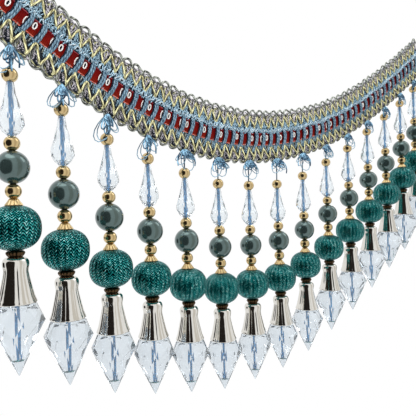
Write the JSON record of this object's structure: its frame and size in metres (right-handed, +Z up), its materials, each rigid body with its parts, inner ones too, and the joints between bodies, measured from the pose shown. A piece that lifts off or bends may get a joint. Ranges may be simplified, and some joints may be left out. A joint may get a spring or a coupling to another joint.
{
  "type": "beaded fringe trim",
  "caption": "Length of woven braid trim with a threaded ribbon, hung as a swag, with bead strands of clear drops, pearls, wound balls and faceted points along its lower edge.",
  "frame": {"origin": "middle of the upper edge of the braid, where the trim is held up", "axes": "+X along the trim from its low end to its high end, +Z up, and the front faces -Y"},
  "size_m": [0.269, 0.0277, 0.1886],
  "materials": {
    "gimp_yarn": "woven braid of slate, mauve-grey, light blue and pale yellow yarns",
    "ribbon_satin": "dark red satin",
    "clear_bead": "clear faceted bead with gold-coloured metal beads",
    "wound_ball": "teal thread wound in ribs, under a dark glossy pearl",
    "metal_and_clear_point": "silver-coloured fluted cone over a clear faceted point"
  },
  "bodies": {
    "root": {"gimp": "gimp_yarn", "ribbon": "ribbon_satin", "drop_01": "clear_bead", "ball_01": "wound_ball", "point_01": "metal_and_clear_point", "drop_02": "clear_bead", "ball_02": "wound_ball", "point_02": "metal_and_clear_point", "drop_03": "clear_bead", "ball_03": "wound_ball", "point_03": "metal_and_clear_point", "drop_04": "clear_bead", "ball_04": "wound_ball", "point_04": "metal_and_clear_point", "drop_05": "clear_bead", "ball_05": "wound_ball", "point_05": "metal_and_clear_point", "drop_06": "clear_bead", "ball_06": "wound_ball", "point_06": "metal_and_clear_point", "drop_07": "clear_bead", "ball_07": "wound_ball", "point_07": "metal_and_clear_point", "drop_08": "clear_bead", "ball_08": "wound_ball", "point_08": "metal_and_clear_point", "drop_09": "clear_bead", "ball_09": "wound_ball", "point_09": "metal_and_clear_point", "drop_10": "clear_bead", "ball_10": "wound_ball", "point_10": "metal_and_clear_point", "drop_11": "clear_bead", "ball_11": "wound_ball", "point_11": "metal_and_clear_point", "drop_12": "clear_bead", "ball_12": "wound_ball", "point_12": "metal_and_clear_point", "drop_13": "clear_bead", "ball_13": "wound_ball", "point_13": "metal_and_clear_point", "drop_14": "clear_bead", "ball_14": "wound_ball", "point_14": "metal_and_clear_point", "drop_15": "clear_bead", "ball_15": "wound_ball", "point_15": "metal_and_clear_point"}
  },
  "joints": []
}
